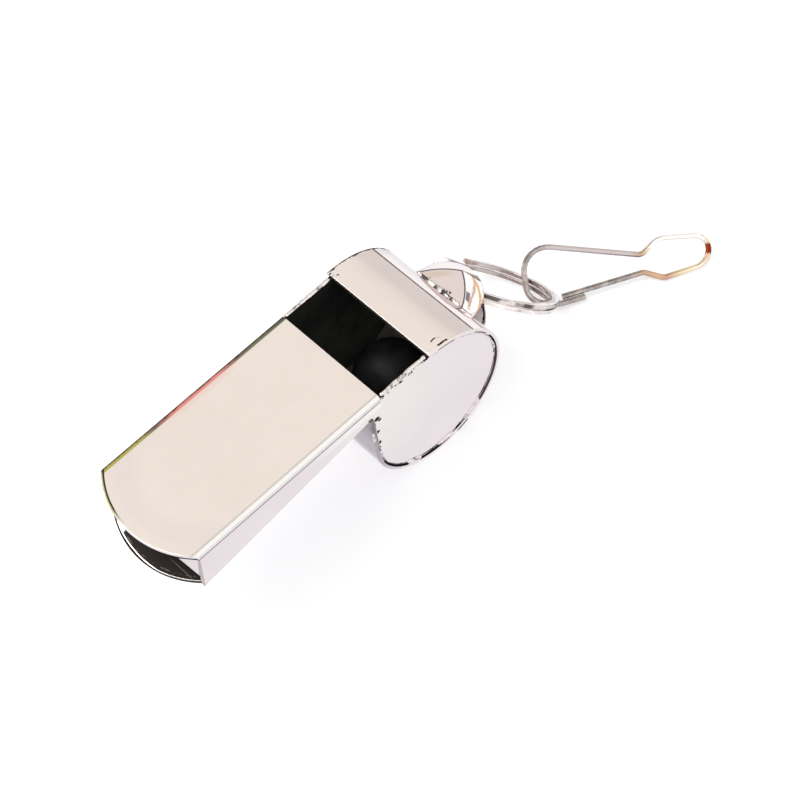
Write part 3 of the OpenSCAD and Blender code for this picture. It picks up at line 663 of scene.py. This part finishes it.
def paint_ring(s, place, colour):
    """Painted shade in streaks along the coils' walls, a painted highlight on the end behind the lug, and a
    brown blot.
    """
    away = s.vector("SUBTRACT", place, RING_CENTRE)
    high = s.vector("DOT_PRODUCT", away, RING_AXIS)
    length = s.vector("LENGTH", away)
    radial = s.math("SQRT", s.minus(s.times(length, length), s.times(high, high)))
    streaks = s.noise(place, 0.35)
    inner = s.times(s.below(radial, RING_IN_R), 0.65)
    colour = s.mix(inner, colour, RING_INNER_SHADE)
    top_shade = s.times(s.span(radial, 7.25, 7.05), s.span(high, 0.45, 0.52), s.span(streaks, 0.40, 0.56))
    colour = s.mix(s.times(top_shade, 0.6), colour, RING_TOP)
    outer = s.times(s.above(radial, RING_OUT_R), s.span(high, 0.0, 0.10),
                    s.span(streaks, 0.44, 0.54, 0.15, 0.9))
    colour = s.mix(outer, colour, RING_OUTER_SHADE)
    # Painted highlight on the end behind the lug
    hidden_end = s.span(s.distance(place, HIDDEN_END), 2.3, 1.7)
    colour = s.mix(hidden_end, colour, RING_END_HIGHLIGHT)
    blot = s.span(s.distance(place, BLOT_CENTRE), 0.55, 0.25, 0.0, 0.8)
    return s.mix(blot, colour, RING_BLOT)


# Finish of each CAD node that shows
finishes = {
    "right_cheek": material("plated_cheek_right", plate, inside=inside_cheek, paint=paint_cheek),
    "left_cheek": material("plated_cheek_left", plate, inside=inside_cheek, paint=paint_cheek,
                           inside_colour=chamber_wall),
    "roof_plate": material("plated_roof", plate, inside=inside_roof, paint=paint_roof),
    "floor_plate": material("plated_floor", plate, inside=inside_floor, paint=paint_floor,
                            inside_colour=(0.047, 0.038, 0.036)),
    "barrel_band": material("plated_band", plate, inside=inside_band, paint=paint_band,
                            inside_colour=(0.27, 0.27, 0.26)),
    # The lug's inner wall under the hood is painted pale lavender: painted light on a wall that lies in
    # shade
    "lanyard_lug": material("plated_lug", plate, inside=inside_lug, paint=paint_lug, round_r=0.2,
                            inside_colour=(0.95, 0.87, 0.92)),
    "pea": material("pea_black", pea_finish),
    "split_ring": material("ring_wire", wire_finish, base=(0.86, 0.80, 0.765), paint=paint_ring,
                           low=0.85, high=1.12),
    "wire_hook": material("hook_wire", wire_finish, base=(0.40, 0.355, 0.335), paint=paint_hook),
}
for name, finish in finishes.items():
    mesh = nodes[name].data
    mesh.materials.clear()
    mesh.materials.append(finish)

bead = material("solder_bead", solder)
dark_bead = material("solder_bead_dark", solder, dirt_share=0.44)

# Solder beads

# Sides of their section, their ends' share of the thickness, how rough their skin is, and how far
# apart their long swellings and short lumps lie
BEAD_SIDES, END_SHARE, ROUGH_SHARE = 14, 0.3, 0.22
LONG_PITCH, SHORT_PITCH = 2.6, 0.9


def wobble(t, seed, pitch):
    """A smooth value from 0 to 1 that changes along a bead, the same in every run."""
    return 0.5 + 0.5 * noise.noise(Vector((t / pitch, 7.3 * seed, 1.7 * seed)))


def bead_radius(travelled, thin, thick, seed):
    """Radius between thin and thick, with long swellings and short lumps."""
    grow = 0.6 * wobble(travelled, seed, LONG_PITCH) + 0.4 * wobble(travelled, seed + 5, SHORT_PITCH)
    return thin + (thick - thin) * max(0.0, min(1.0, 2.4 * grow - 0.7))


def bead_ring(shape, point, ahead, radius, travelled, seed):
    """One rough ring of a bead's skin, square to its run."""
    side = ahead.cross(Vector((0, 1, 0)) if abs(ahead.y) < 0.9 else Vector((1, 0, 0))).normalized()
    lift = ahead.cross(side)
    ring = []
    for k in range(BEAD_SIDES):
        turn = 2 * math.pi * k / BEAD_SIDES
        skin = Vector((travelled * 1.4, 2.0 * math.cos(turn) + seed, 2.0 * math.sin(turn)))
        rough = 1 + ROUGH_SHARE * noise.noise(skin)
        spot = point + (side * math.cos(turn) + lift * math.sin(turn)) * radius * rough
        ring.append(shape.verts.new(ORIGIN + spot * MM))
    return ring


def lumpy_tube(name, replaced, runs, finish=bead):
    """Beads of uneven solder. A run is its points in millimetres, thinnest, thickest, a seed and,
    for a bead that is thinner or thicker in places, its share of the thickness at each point."""
    shape = bmesh.new()
    for points, thin, thick, seed, *shares in runs:
        points = [Vector(p) for p in points]
        last = len(points) - 1
        travelled, rings = 0.0, []
        for i, point in enumerate(points):
            ahead = points[min(i + 1, last)] - points[max(i - 1, 0)]
            ahead.normalize()
            if i:
                travelled += (point - points[i - 1]).length
            radius = bead_radius(travelled, thin, thick, seed)
            if shares:
                radius *= shares[0][i]
            if i in (0, last):
                radius *= END_SHARE
            rings.append(bead_ring(shape, point, ahead, radius, travelled, seed))
        for a, b in zip(rings, rings[1:]):
            for k in range(BEAD_SIDES):
                after = (k + 1) % BEAD_SIDES
                shape.faces.new((a[k], a[after], b[after], b[k]))
        shape.faces.new(rings[0][::-1])
        shape.faces.new(rings[-1])
    bmesh.ops.recalc_face_normals(shape, faces=shape.faces)
    mesh = bpy.data.meshes.new(name)
    shape.to_mesh(mesh)
    shape.free()
    for face in mesh.polygons:
        face.use_smooth = True
    mesh.materials.append(finish)
    made = bpy.data.objects.new(name, mesh)
    scene.collection.objects.link(made)
    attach(made, "case")
    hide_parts(replaced)


def straight(a, b, steps):
    a, b = Vector(a), Vector(b)
    return [a.lerp(b, i / steps) for i in range(steps + 1)]


# Share of a seam bead's thickness left where it is bare, and in front on the near side
BARE_SHARE, NEAR_FRONT_SHARE = 0.15, 0.45
NEAR_BARE = [(-169, -128), (-114, -95), (-82, -68), (-50, 3), (70, 84)]
SEAM_THIN, SEAM_THICK = 0.07, 0.21


def seam_run(side, seed, bare):
    """Bead round a side plate's edge, thinner where bare: angles round the barrel, in degrees."""
    y, reach = side * (HALF_W - 0.17), BARREL_R - 0.64
    points, shares = [], []
    for degrees in range(90, -181, -1):
        turn = math.radians(degrees)
        points.append((reach * math.cos(turn), y, reach * math.sin(turn)))
        shares.append(BARE_SHARE if any(low < degrees < high for low, high in bare) else 1.0)
    front = straight((-reach, y, 0.3), (-reach, y, ROOF_TOP - 3.4), 18)
    points += front
    shares += [NEAR_FRONT_SHARE if side < 0 else 1.0] * len(front)
    return points, SEAM_THIN, SEAM_THICK, seed, shares


def window_run(side, seed):
    """Bead along the top of a side plate beside the window."""
    y = side * (HALF_W - 0.55)
    return straight((-7.35, y, 9.0), (-0.55, y, 9.02), 34), 0.16, 0.34, seed


# Steps along a bead at the lug's foot
FOOT_STEPS = 40


def foot_run(z, half_w, thin, thick, seed):
    """Bead across the barrel's back at the lug's foot."""
    foot = math.sqrt(BARREL_R ** 2 - z ** 2) + 0.08
    return straight((foot, -half_w, z), (foot, half_w, z), FOOT_STEPS), thin, thick, seed


def swell(low, high, most):
    """Shares for a foot run that is thicker between two of its steps."""
    return [most if low < i < high else 1.0 for i in range(FOOT_STEPS + 1)]


lump = (straight((-9.45, -7.95, 4.3), (-9.35, -7.93, 2.3), 12), 0.10, 0.30, 51)
ridge = (straight((-0.35, -7.62, 9.30), (2.30, -7.72, 9.02), 20), 0.16, 0.30, 61)
lumpy_tube("seam_bead_right", "right_seam_solder", [seam_run(-1, 3, NEAR_BARE), lump, ridge])
lumpy_tube("seam_bead_left", "left_seam_solder", [seam_run(1, 8, [])])
lumpy_tube("window_bead", "window_solder", [window_run(-1, 10), window_run(1, 12)])

throat_x, throat_half_w, throat_z = -9.72, 7.5, ROOF_TOP - THROAT_H - 0.25
throat_line = straight((throat_x, -throat_half_w, throat_z), (throat_x, throat_half_w, throat_z), 60)
lumpy_tube("throat_bead", "throat_solder", [(throat_line, 0.22, 0.44, 21)])

upper_foot = (*foot_run(4.42, 3.45, 0.10, 0.32, 31), swell(16, 30, 1.7))
lumpy_tube("lug_bead_upper", "lug_upper_solder", [upper_foot], dark_bead)
lumpy_tube("lug_bead_lower", "lug_lower_solder", [foot_run(-2.24, 4.3, 0.12, 0.40, 41)])


# Stage

# The floor's half width and how far below the object it lies, in metres, its colour and its glow
FLOOR_HALF, FLOOR_DROP = 3.0, 2e-5
FLOOR_WHITE, FLOOR_GLOW = (0.84, 0.855, 0.885, 1), 0.36


def floor_finish(s):
    """White floor that keeps the shadows; polished metal sees the studio's white below the horizon."""
    base = s.node("ShaderNodeBsdfDiffuse")
    base.inputs["Color"].default_value = FLOOR_WHITE
    glow = s.node("ShaderNodeEmission")
    glow.inputs["Color"].default_value = (1, 1, 1, 1)
    path = s.node("ShaderNodeLightPath")
    s.link(s.times(path.outputs["Is Camera Ray"], FLOOR_GLOW), glow.inputs["Strength"])
    lit = s.node("ShaderNodeAddShader")
    s.link(base.outputs[0], lit.inputs[0])
    s.link(glow.outputs[0], lit.inputs[1])
    clear = s.node("ShaderNodeBsdfTransparent")
    shown = s.choose(path.outputs["Is Glossy Ray"], lit.outputs[0], clear.outputs[0])
    s.link(shown, s.node("ShaderNodeOutputMaterial").inputs["Surface"])


def add_floor():
    """A plain floor, which isn't part of the object."""
    corners = [(-1, -1), (1, -1), (1, 1), (-1, 1)]
    points = [(x * FLOOR_HALF, y * FLOOR_HALF, -FLOOR_DROP) for x, y in corners]
    ground = bpy.data.meshes.new("floor")
    ground.from_pydata(points, [], [(0, 1, 2, 3)])
    ground.materials.append(material("floor_white", floor_finish))
    floor = bpy.data.objects.new("floor", ground)
    scene.collection.objects.link(floor)


# The studio's tent as polished metal sees it, from straight below to straight above
TENT = [
    (0.00, (0.76, 0.755, 0.80)), (0.30, (0.79, 0.785, 0.83)), (0.46, (0.95, 0.95, 0.95)),
    (0.482, (0.95, 0.95, 0.95)), (0.487, (0.015, 0.015, 0.015)), (0.506, (0.015, 0.015, 0.015)),
    (0.515, (0.685, 0.65, 0.64)), (0.60, (0.665, 0.630, 0.615)), (0.72, (0.670, 0.630, 0.610)),
    (0.81, (0.765, 0.728, 0.685)), (0.91, (0.820, 0.785, 0.728)), (1.00, (0.83, 0.80, 0.74))]
# Up in the tent, whose horizon lies 12 degrees lower towards the barrel's end
TENT_UP = (0.213, 0, 0.977)
TENT_STRENGTH, SOFT_STRENGTH = 1.25, 0.85
BOX_WHITE, BOX_FRAME, SOFT_WHITE = (1.0, 0.99, 0.98), (0.10, 0.09, 0.09), (1.0, 0.985, 0.97, 1)


def background(s, colour, strength=1.0):
    made = s.node("ShaderNodeBackground")
    s.link(colour, made.inputs["Color"])
    made.inputs["Strength"].default_value = strength
    return made.outputs[0]


def add_world():
    """A plain soft light, the tent for reflections and white behind the object."""
    world = bpy.data.worlds.new("studio")
    world.use_nodes = True
    scene.world = world
    s = Shader(world.node_tree)
    direction = s.node("ShaderNodeTexCoord").outputs["Generated"]
    side = s.split(direction)[1]
    rise = s.vector("DOT_PRODUCT", direction, TENT_UP)
    # The big softbox on the player's right, with its dark frame
    above = s.span(rise, 0.05, 0.10)
    softbox = s.times(s.span(side, 0.14, 0.10), above)
    softbox_frame = s.times(s.span(side, 0.24, 0.20), s.span(side, 0.10, 0.14), above)
    colour = s.mix(softbox, s.ramp(s.span(rise, -1.0, 1.0), TENT), BOX_WHITE)
    colour = s.mix(softbox_frame, colour, BOX_FRAME)
    path = s.node("ShaderNodeLightPath")
    lit = s.choose(path.outputs["Is Glossy Ray"], background(s, SOFT_WHITE, SOFT_STRENGTH),
                   background(s, colour, TENT_STRENGTH))
    seen = s.choose(path.outputs["Is Camera Ray"], lit, background(s, (1, 1, 1, 1)))
    s.link(seen, s.node("ShaderNodeOutputWorld").inputs["Surface"])


# The lamp's size and place in metres, its power in watts and its colour
LAMP_SIZE, LAMP_PLACE, LAMP_POWER, LAMP_COLOUR = 0.5, (-0.25, 0.35, 0.65), 2.0, (1, 0.98, 0.95)


def add_lamp():
    """A softbox above the far side, aimed at the object."""
    lamp = bpy.data.lights.new("softbox", "AREA")
    lamp.shape = "RECTANGLE"
    lamp.size, lamp.size_y = LAMP_SIZE, LAMP_SIZE
    lamp.energy = LAMP_POWER
    lamp.color = LAMP_COLOUR
    box = bpy.data.objects.new("softbox", lamp)
    scene.collection.objects.link(box)
    box.location = LAMP_PLACE
    box.rotation_mode = "QUATERNION"
    box.rotation_quaternion = (-box.location).to_track_quat("-Z", "Y")


# Camera

# Its direction, the photograph's width and focal length in pixels, the sensor's width, and the
# camera's place from the barrel's middle along its own axes
AZIMUTH, ELEVATION, ROLL = math.radians(-35.7), math.radians(58.09), math.radians(-9.94)
PHOTO_W, FOCAL_PX, SENSOR_W = 800, 2419, 36
CAMERA_BACK, CAMERA_RIGHT, CAMERA_UP = 270, 1.278, -4.652


def add_camera():
    """A camera at the photograph's viewing angle."""
    back = Vector((math.sin(AZIMUTH) * math.cos(ELEVATION), -math.cos(AZIMUTH) * math.cos(ELEVATION),
                   math.sin(ELEVATION)))
    level = Vector((math.cos(AZIMUTH), math.sin(AZIMUTH), 0))
    upright = back.cross(level)
    right = level * math.cos(ROLL) + upright * math.sin(ROLL)
    up = upright * math.cos(ROLL) - level * math.sin(ROLL)
    camera = bpy.data.cameras.new("camera")
    camera.sensor_width = SENSOR_W
    camera.lens = SENSOR_W * FOCAL_PX / PHOTO_W
    camera.clip_start, camera.clip_end = 0.01, 20
    eye = bpy.data.objects.new("camera", camera)
    scene.collection.objects.link(eye)
    turn = Matrix((right, up, back)).transposed().to_4x4()
    turn.translation = ORIGIN + (back * CAMERA_BACK + right * CAMERA_RIGHT + up * CAMERA_UP) * MM
    eye.matrix_world = turn
    scene.camera = eye


add_floor()
add_world()
add_camera()
add_lamp()
scene.view_settings.view_transform = "Standard"
